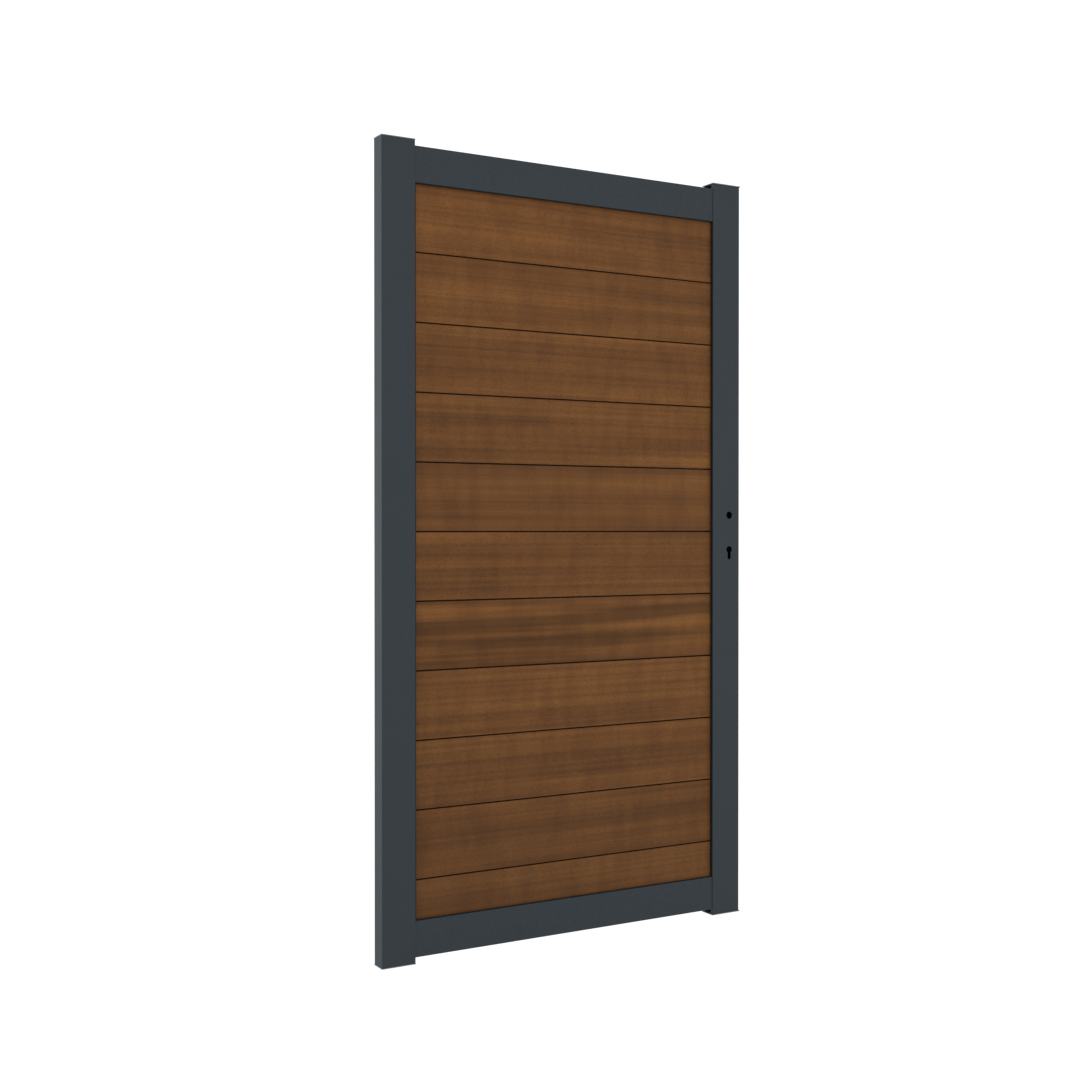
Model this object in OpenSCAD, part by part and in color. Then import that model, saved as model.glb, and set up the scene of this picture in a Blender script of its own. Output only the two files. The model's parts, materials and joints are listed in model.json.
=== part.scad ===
// Garden gate leaf: grooved aluminium frame, tongue-and-groove boards, end pivots and a mortice lock.
// Millimetres. X runs from the hinge stile to the lock stile, Y through the gate, Z up.
// The origin is the mouth of the lower pivot's thread, on the hinge axis.

/* [Leaf] */
// Width over both stiles
leaf_w = 966; // [700:1:1300]
// Height over both end caps
leaf_h = 1800; // [1200:1:2300]

/* [Frame profiles] */
// Width of a stile, seen from the front
stile_w = 80; // [70:1:120]
// Depth of a stile, front to back
stile_d = 40; // [36:1:60]
// Height of a rail, seen from the front
rail_h = 80; // [70:1:120]
// Set-back of a rail's faces behind the stile's faces
rail_setback = 2; // [0:0.5:4]
// Length of stile that stands past a rail
stile_overrun = 12; // [4:1:40]
// Wall of every extrusion
wall = 2; // [1.5:0.1:3]
// Outer corner radius of every extrusion
corner_r = 1; // [0.5:0.1:1.5]
// Depth of the groove that takes the boards
groove_depth = 25; // [15:1:30]

/* [End caps] */
// Thickness of a cap
cap_t = 2; // [1.5:0.5:6]
// Overhang of a cap past the hinge stile, all round
hinge_cap_overhang = 0.5; // [0:0.5:4]
// Overhang of a cap past the lock stile, all round
lock_cap_overhang = 2; // [0:0.5:4]
// Length of a cap's legs inside the stile
cap_leg = 12; // [6:1:20]

/* [Boards] */
// Face cover of one board, joint to joint
board_cover = 152.6; // [90:0.1:200]
// Thickness of a board
board_t = 22; // [14:0.5:24]
// Open joint between two board faces
board_gap = 3; // [1:0.5:5]
// Thickness of a tongue
tongue_t = 6; // [4:0.5:8]
// Length of a tongue inside the next board
tongue_len = 8; // [5:0.5:12]
// Chamfer along the edges of a board's face
board_chamfer = 1; // [0.5:0.1:1.5]
// Depth of the top board's shoulder in the top rail
board_entry = 3.5; // [1:0.5:8]
// Depth of the lowest board in the bottom rail
lowest_entry = 12; // [6:1:20]
// Least height of the lowest board
least_rip = 35; // [25:1:60]
// Free length left at each end of a board
board_end_gap = 5; // [2:1:10]
// Thickness of a sealing strip beside a board
seal_t = 1; // [0.6:0.1:2]
// Thickness of a sealing strip's flange
seal_flange_t = 1.5; // [1:0.5:3]
// Depth of a sealing strip in its groove
seal_depth = 14; // [8:1:20]
// Number of setting blocks under the lowest board
setting_blocks_n = 3; // [2:1:5]
// Length of a setting block
setting_block_l = 60; // [30:1:100]

/* [Corner joints] */
// Length of a connector inside its rail
spigot_l = 50; // [35:1:90]
// Height of the blocks and plugs inside a stile
block_h = 63; // [50:1:90]
// Nominal diameter of a connector bolt
bolt_d = 6; // [5:1:8]
// Length of a connector bolt's thread inside its block
bolt_grip = 12; // [8:0.5:12.5]
// Nominal diameter of the countersunk screws
screw_d = 5; // [4:0.5:6]
// Length of the countersunk screws
screw_l = 16; // [10:1:20]

/* [End pivots] */
// Diameter of a pivot spindle
spindle_d = 16; // [12:1:20]
// Radial play of a spindle in its bush
pivot_play = 0.05; // [0.02:0.01:0.1]
// Length of the bush
bush_l = 50; // [35:1:50]
// Wall of the bush
bush_wall = 2; // [1.5:0.5:3]
// Height of a spindle's head
head_h = 5; // [4:0.5:8]
// Thickness of a thrust washer
washer_t = 2; // [1:0.5:3]
// Height of a spindle's head past the cap
pivot_proud = 1; // [0.5:0.5:5]
// Bore of the tapped hole in a spindle
thread_bore_d = 10.2; // [8.5:0.1:10.2]
// Depth of the tapped hole in a spindle
thread_depth = 25; // [15:1:30]

/* [Lock] */
// Height of the handle's axis above the leaf's lower edge
handle_height = 985; // [800:1:1100]
// Distance from the handle's axis to the cylinder's axis
lock_centres = 85; // [72:1:92]
// Distance from the leaf's edge to both axes
backset = 30; // [28:1:31]
// Diameter of the handle's hole in a stile
handle_hole_d = 18; // [16:0.5:22]
// Side of the follower's square hole
square_side = 8.2; // [8.1:0.1:10.2]
// Diameter of the cylinder cut-out's round part
cylinder_d = 17; // [14:0.5:17.5]
// Width of the cylinder cut-out's slot
cylinder_slot_w = 10; // [6:0.5:11]
// Height of the whole cylinder cut-out
cylinder_h = 33; // [30:0.5:34]
// Travel of the latch bolt
latch_throw = 11; // [8:0.5:12]
// Travel of the deadbolt
bolt_throw = 20; // [12:1:20]
// Thickness of the faceplate
faceplate_t = 3; // [2:0.5:4]
// Width of the faceplate
faceplate_w = 22; // [20:1:24]
// Thickness of the lock case's plates
plate_t = 1.5; // [1:0.5:2]

/* [Hidden] */
$fn = 64;
fit_gap = 0.2;      // one side of a push fit
thread_gap = 0.05;  // one side of a screw in its own hole
slide_gap = 0.3;    // one side of a sliding piece
eps = 1;            // overshoot of a cut

// Frame, worked out from the leaf
chamber_w = stile_w - groove_depth - 2 * wall;
chamber_d = stile_d - 2 * wall;
pivot_x = wall + chamber_w / 2;
hinge_edge_x = -pivot_x;
lock_edge_x = leaf_w - pivot_x;
leaf_low_z = pivot_proud;
leaf_top_z = leaf_low_z + leaf_h;
stile_low_z = leaf_low_z + cap_t;
stile_top_z = leaf_top_z - cap_t;
stile_l = stile_top_z - stile_low_z;
rail_d = stile_d - 2 * rail_setback;
rail_x0 = hinge_edge_x + stile_w;
rail_x1 = lock_edge_x - stile_w;
rail_l = rail_x1 - rail_x0;
rail_low_z = stile_low_z + stile_overrun;
rail_top_z = stile_top_z - stile_overrun;
infill_low_z = rail_low_z + rail_h;
infill_top_z = rail_top_z - rail_h;
rail_chamber_h = rail_h - groove_depth - 2 * wall;
rail_chamber_d = rail_d - 2 * wall;

// Boards, counted down from the top rail
groove_w = board_t + 2 * seal_t;
stack_low_z = infill_low_z - lowest_entry;
stack_top_z = infill_top_z + board_entry;
stack_h = stack_top_z - stack_low_z;
board_count = ceil(stack_h / board_cover);
rip_h = stack_h - (board_count - 1) * board_cover;
top_trim = max(0, least_rip - rip_h);
board_x0 = hinge_edge_x + stile_w - groove_depth + board_end_gap;
board_l = leaf_w - 2 * (stile_w - groove_depth + board_end_gap);
groove_floor_z = infill_low_z - groove_depth;

// Corner joints
connector_t = groove_w - 2 * fit_gap;
connector_h = rail_chamber_h - 2 * fit_gap;
bolt_head_d = bolt_d * 1.6;
bolt_head_h = bolt_d;
bolt_spots = [0.22, 0.78];
block_screw_x = chamber_w * 0.35;
rail_screw_v = wall + rail_chamber_h / 2;
rail_screw_reaches = [spigot_l * 0.3, spigot_l * 0.7];
rail_screw_places = [for (reach = rail_screw_reaches, x = [rail_x0 + reach, rail_x1 - reach],
                          z = [rail_low_z + rail_screw_v, rail_top_z - rail_screw_v]) [x, z]];

// End pivots, measured up from the stile's end
head_d = spindle_d + 6;
head_gap = 1.3;
mouth_d = head_d + 2 * head_gap;
seat_z = head_h - cap_t - pivot_proud;
bush_z = seat_z + washer_t + pivot_play;
bush_flange_t = 2;
bush_bore_d = spindle_d + 2 * pivot_play;
bush_d = bush_bore_d + 2 * bush_wall;
ring_t = 1.2;
ring_groove_depth = 0.5;
ring_z = bush_z + bush_flange_t + bush_l + 2 * pivot_play;
spindle_end_z = ring_z + ring_t + 2;
ring_d = spindle_d + 5;

// Lock, measured from the leaf's edge and the handle's axis
handle_z = leaf_low_z + handle_height;
case_depth = wall + chamber_w - 2.5 - faceplate_t;
case_top_z = 44;
case_low_z = -lock_centres - 42;
case_t = 16;
case_back_x = -faceplate_t - case_depth;
inner_t = case_t - 2 * plate_t;
piece_t = inner_t - 1;
faceplate_margin = 30;
faceplate_top_z = case_top_z + faceplate_margin;
faceplate_low_z = case_low_z - faceplate_margin;
faceplate_screw_z = [faceplate_low_z + 8, faceplate_top_z - 8];
arm_r = 22;
arm_nose_r = 2.5;
arm_gap = 0.3;
latch_h = 20;
latch_head_l = 14;
latch_low_z = arm_r - latch_h / 2;
latch_tail_low_z = latch_low_z + 4;
latch_tail_top_z = latch_low_z + 15.2;
latch_lug_t = 3.5;
latch_lug_x = -backset - arm_nose_r - arm_gap;
latch_spring_z = latch_low_z + latch_h - 2.4;
latch_spring_r = 2.2;
latch_spring_wire = 0.8;
latch_spring_seat = 8;
boss_r = 9;
boss_play = 0.05;
cam_r = 10.5;
cam_lug_r = 17.5;
cam_lug_t = 5;
return_spring_r = 3.5;
return_spring_x = -backset - cam_r - slide_gap - return_spring_r;
return_spring_wire = 1;
return_spring_l = 25;
ledge_top_z = -cam_lug_t / 2 - slide_gap - return_spring_l;
ledge_t = 2;
bolt_h = 22;
bolt_low_z = -lock_centres + 13;
bolt_l = 44;
detent_r = 2;
detent_depth = 0.9;
detent_x = -18;
detent_strip_t = 0.8;
post_r = 3;
post_inset = 4.5;
cover_screw_d = 3;
post_spots = [for (x = [-faceplate_t - plate_t - post_inset, case_back_x + plate_t + post_inset],
                   z = [case_top_z - plate_t - post_inset, case_low_z + plate_t + post_inset]) [x, z]];
cylinder_screw_d = 5.5;
lug_l = 22;
lug_w = 24;
lug_t = 6;
rivet_d = 4;

// ---- Shared shapes ----

// A box given by its lowest and highest corners
module span(low, high) {
    translate(low) cube(high - low);
}

// A rectangle about the origin with true round corners
module rounded_rect(w, d, r) {
    square([w, d - 2 * r], center = true);
    square([w - 2 * r, d], center = true);
    for (x = [-1, 1], y = [-1, 1]) translate([x * (w / 2 - r), y * (d / 2 - r)]) circle(r);
}

// The extrusion's section: outer edge at x = 0, groove at x = w, hollow on both sides of the groove
module grooved_profile(w, d) {
    lip = (d - groove_w) / 2;
    floor_x = w - groove_depth;
    difference() {
        translate([w / 2, 0]) rounded_rect(w, d, corner_r);
        translate([wall, -d / 2 + wall]) square([floor_x - 2 * wall, d - 2 * wall]);
        translate([floor_x, -groove_w / 2]) square([groove_depth + eps, groove_w]);
        for (side = [-1, 1])
            translate([floor_x, side * (d - lip) / 2 - (lip - 2 * wall) / 2])
                square([groove_depth - wall, lip - 2 * wall]);
    }
}

// Places children at the leaf's lower or upper end, mirrored for the upper one
module at_end(upper) {
    if (upper) translate([0, 0, stile_top_z]) mirror([0, 0, 1]) children();
    else translate([0, 0, stile_low_z]) children();
}

// Places children with x = 0 at a stile's outer edge and x growing towards the infill
module at_stile(lock_side) {
    if (lock_side) translate([lock_edge_x, 0, 0]) mirror([1, 0, 0]) children();
    else translate([hinge_edge_x, 0, 0]) children();
}

// Places children at the leaf's lock edge, level with the handle's axis
module at_lock() {
    translate([lock_edge_x, 0, handle_z]) children();
}

// A countersunk screw with its face at z = 0 and its tip at z = length
module countersunk_screw(d, length) {
    head_r = d * 0.92;
    difference() {
        union() {
            cylinder(h = head_r - d / 2, r1 = head_r, r2 = d / 2);
            cylinder(h = length, d = d);
        }
        translate([0, 0, -eps]) cylinder(h = eps + d * 0.35, d = d * 0.7, $fn = 6);
    }
}

// The hole that a countersunk screw sits in
module countersunk_hole(d, length) {
    head_r = d * 0.92 + thread_gap;
    cylinder(h = head_r - d / 2, r1 = head_r, r2 = d / 2);
    cylinder(h = length, d = d + 2 * thread_gap);
    translate([0, 0, -eps]) cylinder(h = eps, r = head_r);
}

// A helical compression spring standing on z = 0
module coil_spring(r, wire, length, turns) {
    sides = 6;
    steps = 12;
    rings = turns * steps;
    points = [for (k = [0 : rings], i = [0 : sides - 1])
        let (a = 360 * k / steps, t = 360 * i / sides, reach = r - wire / 2 + wire / 2 * cos(t))
        [reach * cos(a), reach * sin(a), wire / 2 + (length - wire) * k / rings + wire / 2 * sin(t)]];
    skin = [for (k = [0 : rings - 1], i = [0 : sides - 1])
        let (j = (i + 1) % sides)
        [k * sides + i, k * sides + j, (k + 1) * sides + j, (k + 1) * sides + i]];
    start = [for (i = [sides - 1 : -1 : 0]) i];
    end = [for (i = [0 : sides - 1]) rings * sides + i];
    polyhedron(points, concat([start], skin, [end]));
}

// ---- End pivots ----

module spindle(upper) {
    shaft_low = -cap_t - pivot_proud;
    groove_r = spindle_d / 2 - ring_groove_depth;
    color("silver") at_end(upper) difference() {
        union() {
            translate([0, 0, shaft_low]) cylinder(h = head_h, d = head_d);
            translate([0, 0, shaft_low]) cylinder(h = spindle_end_z - shaft_low, d = spindle_d);
        }
        translate([0, 0, shaft_low - eps]) cylinder(h = thread_depth + eps, d = thread_bore_d);
        translate([0, 0, ring_z]) difference() {
            cylinder(h = ring_t, d = head_d);
            translate([0, 0, -eps]) cylinder(h = ring_t + 2 * eps, r = groove_r);
        }
    }
}

module thrust_washer(upper) {
    color("ivory") at_end(upper) translate([0, 0, seat_z]) difference() {
        cylinder(h = washer_t, d = head_d);
        translate([0, 0, -eps]) cylinder(h = washer_t + 2 * eps, d = bush_bore_d);
    }
}

module retaining_rings() {
    bore_r = spindle_d / 2 - ring_groove_depth + thread_gap;
    color("dimgray") for (upper = [false, true]) at_end(upper) translate([0, 0, ring_z]) difference() {
        cylinder(h = ring_t, d = ring_d);
        translate([0, 0, -eps]) cylinder(h = ring_t + 2 * eps, r = bore_r);
        span([0, -bore_r / 2, -eps], [ring_d, bore_r / 2, ring_t + eps]);
    }
}

module bush(upper) {
    color("goldenrod") at_end(upper) translate([0, 0, bush_z]) difference() {
        union() {
            cylinder(h = bush_flange_t, d = head_d);
            cylinder(h = bush_flange_t + bush_l, d = bush_d);
        }
        translate([0, 0, -eps]) cylinder(h = bush_l + bush_flange_t + 2 * eps, d = bush_bore_d);
    }
}

// The block that every stile end holds, with its bolt and screw holes
module end_block() {
    half_w = chamber_w / 2 - fit_gap;
    half_d = chamber_d / 2 - fit_gap;
    difference() {
        span([-half_w, -half_d, 0], [half_w, half_d, block_h]);
        for (spot = bolt_spots)
            translate([half_w - bolt_grip + fit_gap, 0, connector_bolt_z(spot)]) rotate([0, 90, 0])
                cylinder(h = bolt_grip + eps, d = bolt_d + 2 * thread_gap);
        for (side = [-1, 1])
            translate([side * block_screw_x, stile_d / 2, block_h / 2]) rotate([90, 0, 0])
                countersunk_hole(screw_d, screw_l);
    }
}

// Height of a connector's bolt above the stile's end
function connector_bolt_z(spot) = stile_overrun + wall + fit_gap + connector_h * spot;

module pivot_plug(upper) {
    top_bore_z = bush_z + bush_flange_t + bush_l;
    color("lightgray") at_end(upper) difference() {
        end_block();
        translate([0, 0, -eps]) cylinder(h = block_h + 2 * eps, d = bush_d);
        translate([0, 0, -eps]) cylinder(h = bush_z + bush_flange_t + eps, d = mouth_d);
        translate([0, 0, top_bore_z]) cylinder(h = block_h, d = mouth_d);
    }
}

module anchor_block(upper) {
    color("lightgray") at_stile(true) translate([pivot_x, 0, 0]) at_end(upper) end_block();
}

// ---- Frame ----

module stile_blank(lock_side) {
    at_stile(lock_side) difference() {
        translate([0, 0, stile_low_z]) linear_extrude(stile_l) grooved_profile(stile_w, stile_d);
        for (upper = [false, true]) translate([pivot_x, 0, 0]) at_end(upper) {
            for (spot = bolt_spots)
                translate([chamber_w / 2 - eps, 0, connector_bolt_z(spot)]) rotate([0, 90, 0])
                    cylinder(h = wall + 2 * eps, d = bolt_d + 2 * fit_gap);
            for (side = [-1, 1])
                translate([side * block_screw_x, stile_d / 2, block_h / 2]) rotate([90, 0, 0])
                    countersunk_hole(screw_d, wall + eps);
        }
    }
}

module hinge_stile() {
    color("#3b4145") stile_blank(false);
}

module lock_stile() {
    color("#3b4145") difference() {
        stile_blank(true);
        at_lock() {
            span([-wall - eps, -faceplate_w / 2 - fit_gap, faceplate_low_z - fit_gap],
                 [eps, faceplate_w / 2 + fit_gap, faceplate_top_z + fit_gap]);
            translate([-backset, stile_d / 2 + eps, 0]) rotate([90, 0, 0])
                cylinder(h = stile_d + 2 * eps, d = handle_hole_d);
            cylinder_cutout(stile_d / 2 + eps);
            for (z = lug_rivet_z()) translate([0, 0, z]) rotate([0, -90, 0]) countersunk_hole(rivet_d, lug_t);
        }
    }
}

// The profile cylinder's cut-out, through y = -reach to y = reach
module cylinder_cutout(reach) {
    low_z = -lock_centres + cylinder_d / 2 - cylinder_h + cylinder_slot_w / 2;
    translate([-backset, reach, -lock_centres]) rotate([90, 0, 0]) cylinder(h = 2 * reach, d = cylinder_d);
    translate([-backset, reach, low_z]) rotate([90, 0, 0]) cylinder(h = 2 * reach, d = cylinder_slot_w);
    span([-backset - cylinder_slot_w / 2, -reach, low_z],
         [-backset + cylinder_slot_w / 2, reach, -lock_centres]);
}

module rail(upper) {
    color("#3b4145") difference() {
        if (upper) translate([rail_x0, 0, rail_top_z]) rotate([0, 90, 0])
            linear_extrude(rail_l) grooved_profile(rail_h, rail_d);
        else translate([rail_x1, 0, rail_low_z]) rotate([0, -90, 0])
            linear_extrude(rail_l) grooved_profile(rail_h, rail_d);
        for (p = rail_screw_places) translate([p[0], rail_d / 2, p[1]]) rotate([90, 0, 0])
            countersunk_hole(screw_d, wall + eps);
    }
}

module cap(lock_side, upper) {
    lip = (stile_d - groove_w) / 2;
    leg_t = lip - 2 * wall - 2 * fit_gap;
    leg_x0 = stile_w - groove_depth + fit_gap;
    leg_x1 = stile_w - wall - fit_gap;
    overhang = lock_side ? lock_cap_overhang : hinge_cap_overhang;
    color("#2e3234") at_stile(lock_side) at_end(upper) difference() {
        union() {
            translate([stile_w / 2, 0, -cap_t]) linear_extrude(cap_t)
                rounded_rect(stile_w + 2 * overhang, stile_d + 2 * overhang, corner_r);
            for (side = [-1, 1]) {
                mid_y = side * (stile_d - lip) / 2;
                span([leg_x0, mid_y - leg_t / 2, 0], [leg_x1, mid_y + leg_t / 2, cap_leg]);
            }
        }
        if (!lock_side) translate([pivot_x, 0, -cap_t - eps]) cylinder(h = cap_t + 2 * eps, d = mouth_d);
    }
}

module connector(lock_side, upper) {
    half_spigot_t = rail_chamber_d / 2 - fit_gap;
    low = stile_overrun + wall + fit_gap;
    floor_x = stile_w - groove_depth;
    end_x = stile_w + spigot_l;
    color("gainsboro") at_stile(lock_side) at_end(upper) difference() {
        union() {
            span([floor_x, -connector_t / 2, low], [stile_w, connector_t / 2, low + connector_h]);
            span([stile_w, -half_spigot_t, low], [end_x, half_spigot_t, low + connector_h]);
        }
        for (spot = bolt_spots) translate([0, 0, connector_bolt_z(spot)]) rotate([0, 90, 0]) {
            cylinder(h = end_x + eps, d = bolt_d + 2 * fit_gap);
            translate([0, 0, end_x - bolt_head_h - eps])
                cylinder(h = bolt_head_h + 2 * eps, d = bolt_head_d + 2 * fit_gap);
        }
        for (reach = rail_screw_reaches)
            translate([stile_w + reach, rail_d / 2, stile_overrun + rail_screw_v])
                rotate([90, 0, 0]) countersunk_hole(screw_d, screw_l + fit_gap);
    }
}

module connector_bolts() {
    seat_x = stile_w + spigot_l - bolt_head_h - eps;
    tip_x = stile_w - groove_depth - wall - bolt_grip;
    color("silver") for (lock_side = [false, true], upper = [false, true], spot = bolt_spots)
        at_stile(lock_side) at_end(upper) translate([0, 0, connector_bolt_z(spot)]) rotate([0, 90, 0])
            difference() {
                union() {
                    translate([0, 0, tip_x + thread_gap]) cylinder(h = seat_x - tip_x, d = bolt_d);
                    translate([0, 0, seat_x]) cylinder(h = bolt_head_h, d = bolt_head_d);
                }
                translate([0, 0, seat_x + bolt_head_h / 2])
                    cylinder(h = bolt_head_h, d = bolt_d * 0.9, $fn = 6);
            }
}

module rail_screws() {
    color("silver") for (p = rail_screw_places) translate([p[0], rail_d / 2, p[1]]) rotate([90, 0, 0])
        countersunk_screw(screw_d, screw_l);
}

module block_screws() {
    color("silver") for (lock_side = [false, true], upper = [false, true], side = [-1, 1])
        at_stile(lock_side) at_end(upper)
            translate([pivot_x + side * block_screw_x, stile_d / 2, block_h / 2]) rotate([90, 0, 0])
                countersunk_screw(screw_d, screw_l);
}

// ---- Infill ----

// Height of the lower shoulder of board i, counted from the top
function board_z(i) = stack_top_z + top_trim - i * board_cover;

// Section of one board: x is height above its lower shoulder, y is through the gate
module board_profile() {
    face_h = board_cover - board_gap;
    half_t = board_t / 2;
    half_tongue = tongue_t / 2;
    half_groove = half_tongue + fit_gap;
    groove_deep = tongue_len + 1;
    polygon([[board_chamfer, -half_t], [face_h - board_chamfer, -half_t],
             [face_h, -half_t + board_chamfer], [face_h, -half_tongue],
             [board_cover + tongue_len, -half_tongue], [board_cover + tongue_len, half_tongue],
             [board_cover, half_tongue], [board_cover, half_t], [0, half_t],
             [0, half_groove], [groove_deep, half_groove], [groove_deep, -half_groove],
             [0, -half_groove], [0, -half_t + board_chamfer]]);
}

module board(i) {
    low = max(stack_low_z - board_z(i), -eps);
    high = min(stack_top_z + tongue_len - board_z(i), board_cover + tongue_len + eps);
    color("#6b4529") translate([board_x0 + board_l, 0, board_z(i)]) rotate([0, -90, 0])
        linear_extrude(board_l) intersection() {
            board_profile();
            translate([low, -board_t]) square([high - low, 2 * board_t]);
        }
}

// One side's strip: x along its groove from the mouth, y from the groove's wall outwards
module seal_profile(flange_w) {
    translate([-seal_depth, -seal_t]) square([seal_depth + seal_flange_t, seal_t]);
    translate([0, -seal_t]) square([seal_flange_t, flange_w + seal_t]);
}

module side_seal(lock_side) {
    flange_w = (stile_d - groove_w) / 2 - corner_r;
    color("#141312") at_stile(lock_side) for (side = [0, 1]) mirror([0, side, 0])
        translate([stile_w, groove_w / 2, infill_low_z])
            linear_extrude(infill_top_z - infill_low_z) seal_profile(flange_w);
}

module rail_seal(upper) {
    flange_w = (rail_d - groove_w) / 2 - corner_r;
    reach = rail_l - 2 * seal_flange_t;
    color("#141312") for (side = [0, 1]) mirror([0, side, 0])
        if (upper) translate([rail_x0 + seal_flange_t, groove_w / 2, infill_top_z]) rotate([0, 90, 0])
            linear_extrude(reach) seal_profile(flange_w);
        else translate([rail_x1 - seal_flange_t, groove_w / 2, infill_low_z]) rotate([0, -90, 0])
            linear_extrude(reach) seal_profile(flange_w);
}

module setting_blocks() {
    half_w = groove_w / 2 - fit_gap;
    pitch = rail_l / setting_blocks_n;
    color("#202020") for (k = [0 : setting_blocks_n - 1]) {
        mid_x = rail_x0 + pitch * (k + 0.5);
        span([mid_x - setting_block_l / 2, -half_w, groove_floor_z],
             [mid_x + setting_block_l / 2, half_w, min(stack_low_z, infill_low_z - seal_depth)]);
    }
}

// ---- Lock ----

module faceplate() {
    color("silver") at_lock() difference() {
        span([-faceplate_t, -faceplate_w / 2, faceplate_low_z], [0, faceplate_w / 2, faceplate_top_z]);
        bolt_openings();
        for (z = faceplate_screw_z) translate([0, 0, z]) rotate([0, -90, 0])
            countersunk_hole(screw_d, faceplate_t + eps);
        cylinder_screw_hole();
    }
}

// The two bolts' ways through the faceplate and the case
module bolt_openings() {
    half_t = piece_t / 2 + slide_gap;
    span([-faceplate_t - plate_t - eps, -half_t, latch_low_z - slide_gap],
         [eps, half_t, latch_low_z + latch_h + slide_gap]);
    span([-faceplate_t - plate_t - eps, -half_t, bolt_low_z - slide_gap],
         [eps, half_t, bolt_low_z + bolt_h + slide_gap]);
}

module cylinder_screw_hole() {
    translate([eps, 0, -lock_centres]) rotate([0, -90, 0])
        cylinder(h = faceplate_t + plate_t + 2 * eps, d = cylinder_screw_d);
}

module lock_case() {
    front_x = -faceplate_t;
    color("#8d8f8c") at_lock() difference() {
        union() {
            difference() {
                span([case_back_x, -inner_t / 2, case_low_z], [front_x, case_t / 2, case_top_z]);
                span([case_back_x + plate_t, -inner_t / 2 - eps, case_low_z + plate_t],
                     [front_x - plate_t, inner_t / 2, case_top_z - plate_t]);
            }
            for (p = post_spots) translate([p[0], case_t / 2, p[1]]) rotate([90, 0, 0])
                cylinder(h = case_t / 2 + inner_t / 2, r = post_r);
            span([case_back_x, -inner_t / 2 + slide_gap, ledge_top_z - ledge_t],
                 [return_spring_x + return_spring_r + 1, case_t / 2, ledge_top_z]);
        }
        for (p = post_spots) translate([p[0], 0, p[1]]) rotate([90, 0, 0])
            cylinder(h = case_t, d = cover_screw_d + 2 * thread_gap);
        bolt_openings();
        cylinder_screw_hole();
        cylinder_cutout(case_t);
        boss_bore();
    }
}

module boss_bore() {
    translate([-backset, case_t, 0]) rotate([90, 0, 0]) cylinder(h = 2 * case_t, r = boss_r + boss_play);
}

module lock_cover() {
    color("#8d8f8c") at_lock() difference() {
        span([case_back_x, -case_t / 2, case_low_z], [-faceplate_t, -inner_t / 2, case_top_z]);
        for (p = post_spots) translate([p[0], 0, p[1]]) rotate([90, 0, 0])
            cylinder(h = case_t, d = cover_screw_d + 2 * thread_gap);
        cylinder_cutout(case_t);
        boss_bore();
    }
}

module latch_bolt() {
    half_t = piece_t / 2;
    nose_flat = 2;
    tail_end_x = latch_lug_x - latch_lug_t;
    notch_front_x = -backset + 10;
    color("silver") at_lock() difference() {
        union() {
            translate([0, 0, latch_low_z]) linear_extrude(latch_h)
                polygon([[-latch_head_l, -half_t], [0.5, -half_t], [latch_throw, half_t - nose_flat],
                         [latch_throw, half_t], [-latch_head_l, half_t]]);
            span([tail_end_x, -half_t, latch_tail_low_z], [-latch_head_l + eps, half_t, latch_tail_top_z]);
        }
        span([latch_lug_x, -half_t - eps, latch_tail_low_z - eps],
             [notch_front_x, half_t + eps, arm_r + arm_nose_r + 1]);
        translate([-latch_head_l - eps, 0, latch_spring_z]) rotate([0, 90, 0])
            cylinder(h = latch_spring_seat + eps, r = latch_spring_r + fit_gap);
    }
}

module latch_spring() {
    spring_l = -case_back_x - plate_t - latch_head_l + latch_spring_seat;
    color("gray") at_lock() translate([case_back_x + plate_t, 0, latch_spring_z]) rotate([0, 90, 0])
        coil_spring(latch_spring_r, latch_spring_wire, spring_l, 12);
}

module deadbolt() {
    half_t = piece_t / 2;
    top_z = bolt_low_z + bolt_h;
    color("silver") at_lock() difference() {
        span([-bolt_l, -half_t, bolt_low_z], [0, half_t, top_z]);
        span([-backset - 7, -half_t - eps, bolt_low_z - eps], [-backset + 7, half_t + eps, bolt_low_z + 4]);
        for (x = [detent_x, detent_x - bolt_throw])
            translate([x, half_t + eps, top_z + detent_r - detent_depth]) rotate([90, 0, 0])
                cylinder(h = 2 * half_t + 2 * eps, r = detent_r + thread_gap);
    }
}

module deadbolt_detent() {
    half_w = piece_t / 4;
    nose_z = bolt_low_z + bolt_h + detent_r - detent_depth;
    color("gray") at_lock() {
        translate([detent_x, half_w, nose_z]) rotate([90, 0, 0]) cylinder(h = 2 * half_w, r = detent_r);
        span([case_back_x + plate_t, -half_w, nose_z], [detent_x + 8, half_w, nose_z + detent_strip_t]);
    }
}

module follower() {
    arm_half_t = piece_t / 2 - 2;
    color("gray") at_lock() translate([-backset, 0, 0]) difference() {
        union() {
            translate([0, case_t / 2, 0]) rotate([90, 0, 0]) cylinder(h = case_t, r = boss_r);
            translate([0, piece_t / 2, 0]) rotate([90, 0, 0]) cylinder(h = piece_t, r = cam_r);
            span([-arm_nose_r, -arm_half_t, 0], [arm_nose_r, arm_half_t, arm_r]);
            translate([0, arm_half_t, arm_r]) rotate([90, 0, 0]) cylinder(h = 2 * arm_half_t, r = arm_nose_r);
            span([-cam_lug_r, -arm_half_t, -cam_lug_t / 2], [0, arm_half_t, cam_lug_t / 2]);
        }
        span([-square_side / 2, -case_t, -square_side / 2], [square_side / 2, case_t, square_side / 2]);
    }
}

module follower_spring() {
    color("gray") at_lock() translate([return_spring_x, 0, ledge_top_z])
        coil_spring(return_spring_r, return_spring_wire, return_spring_l, 8);
}

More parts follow.
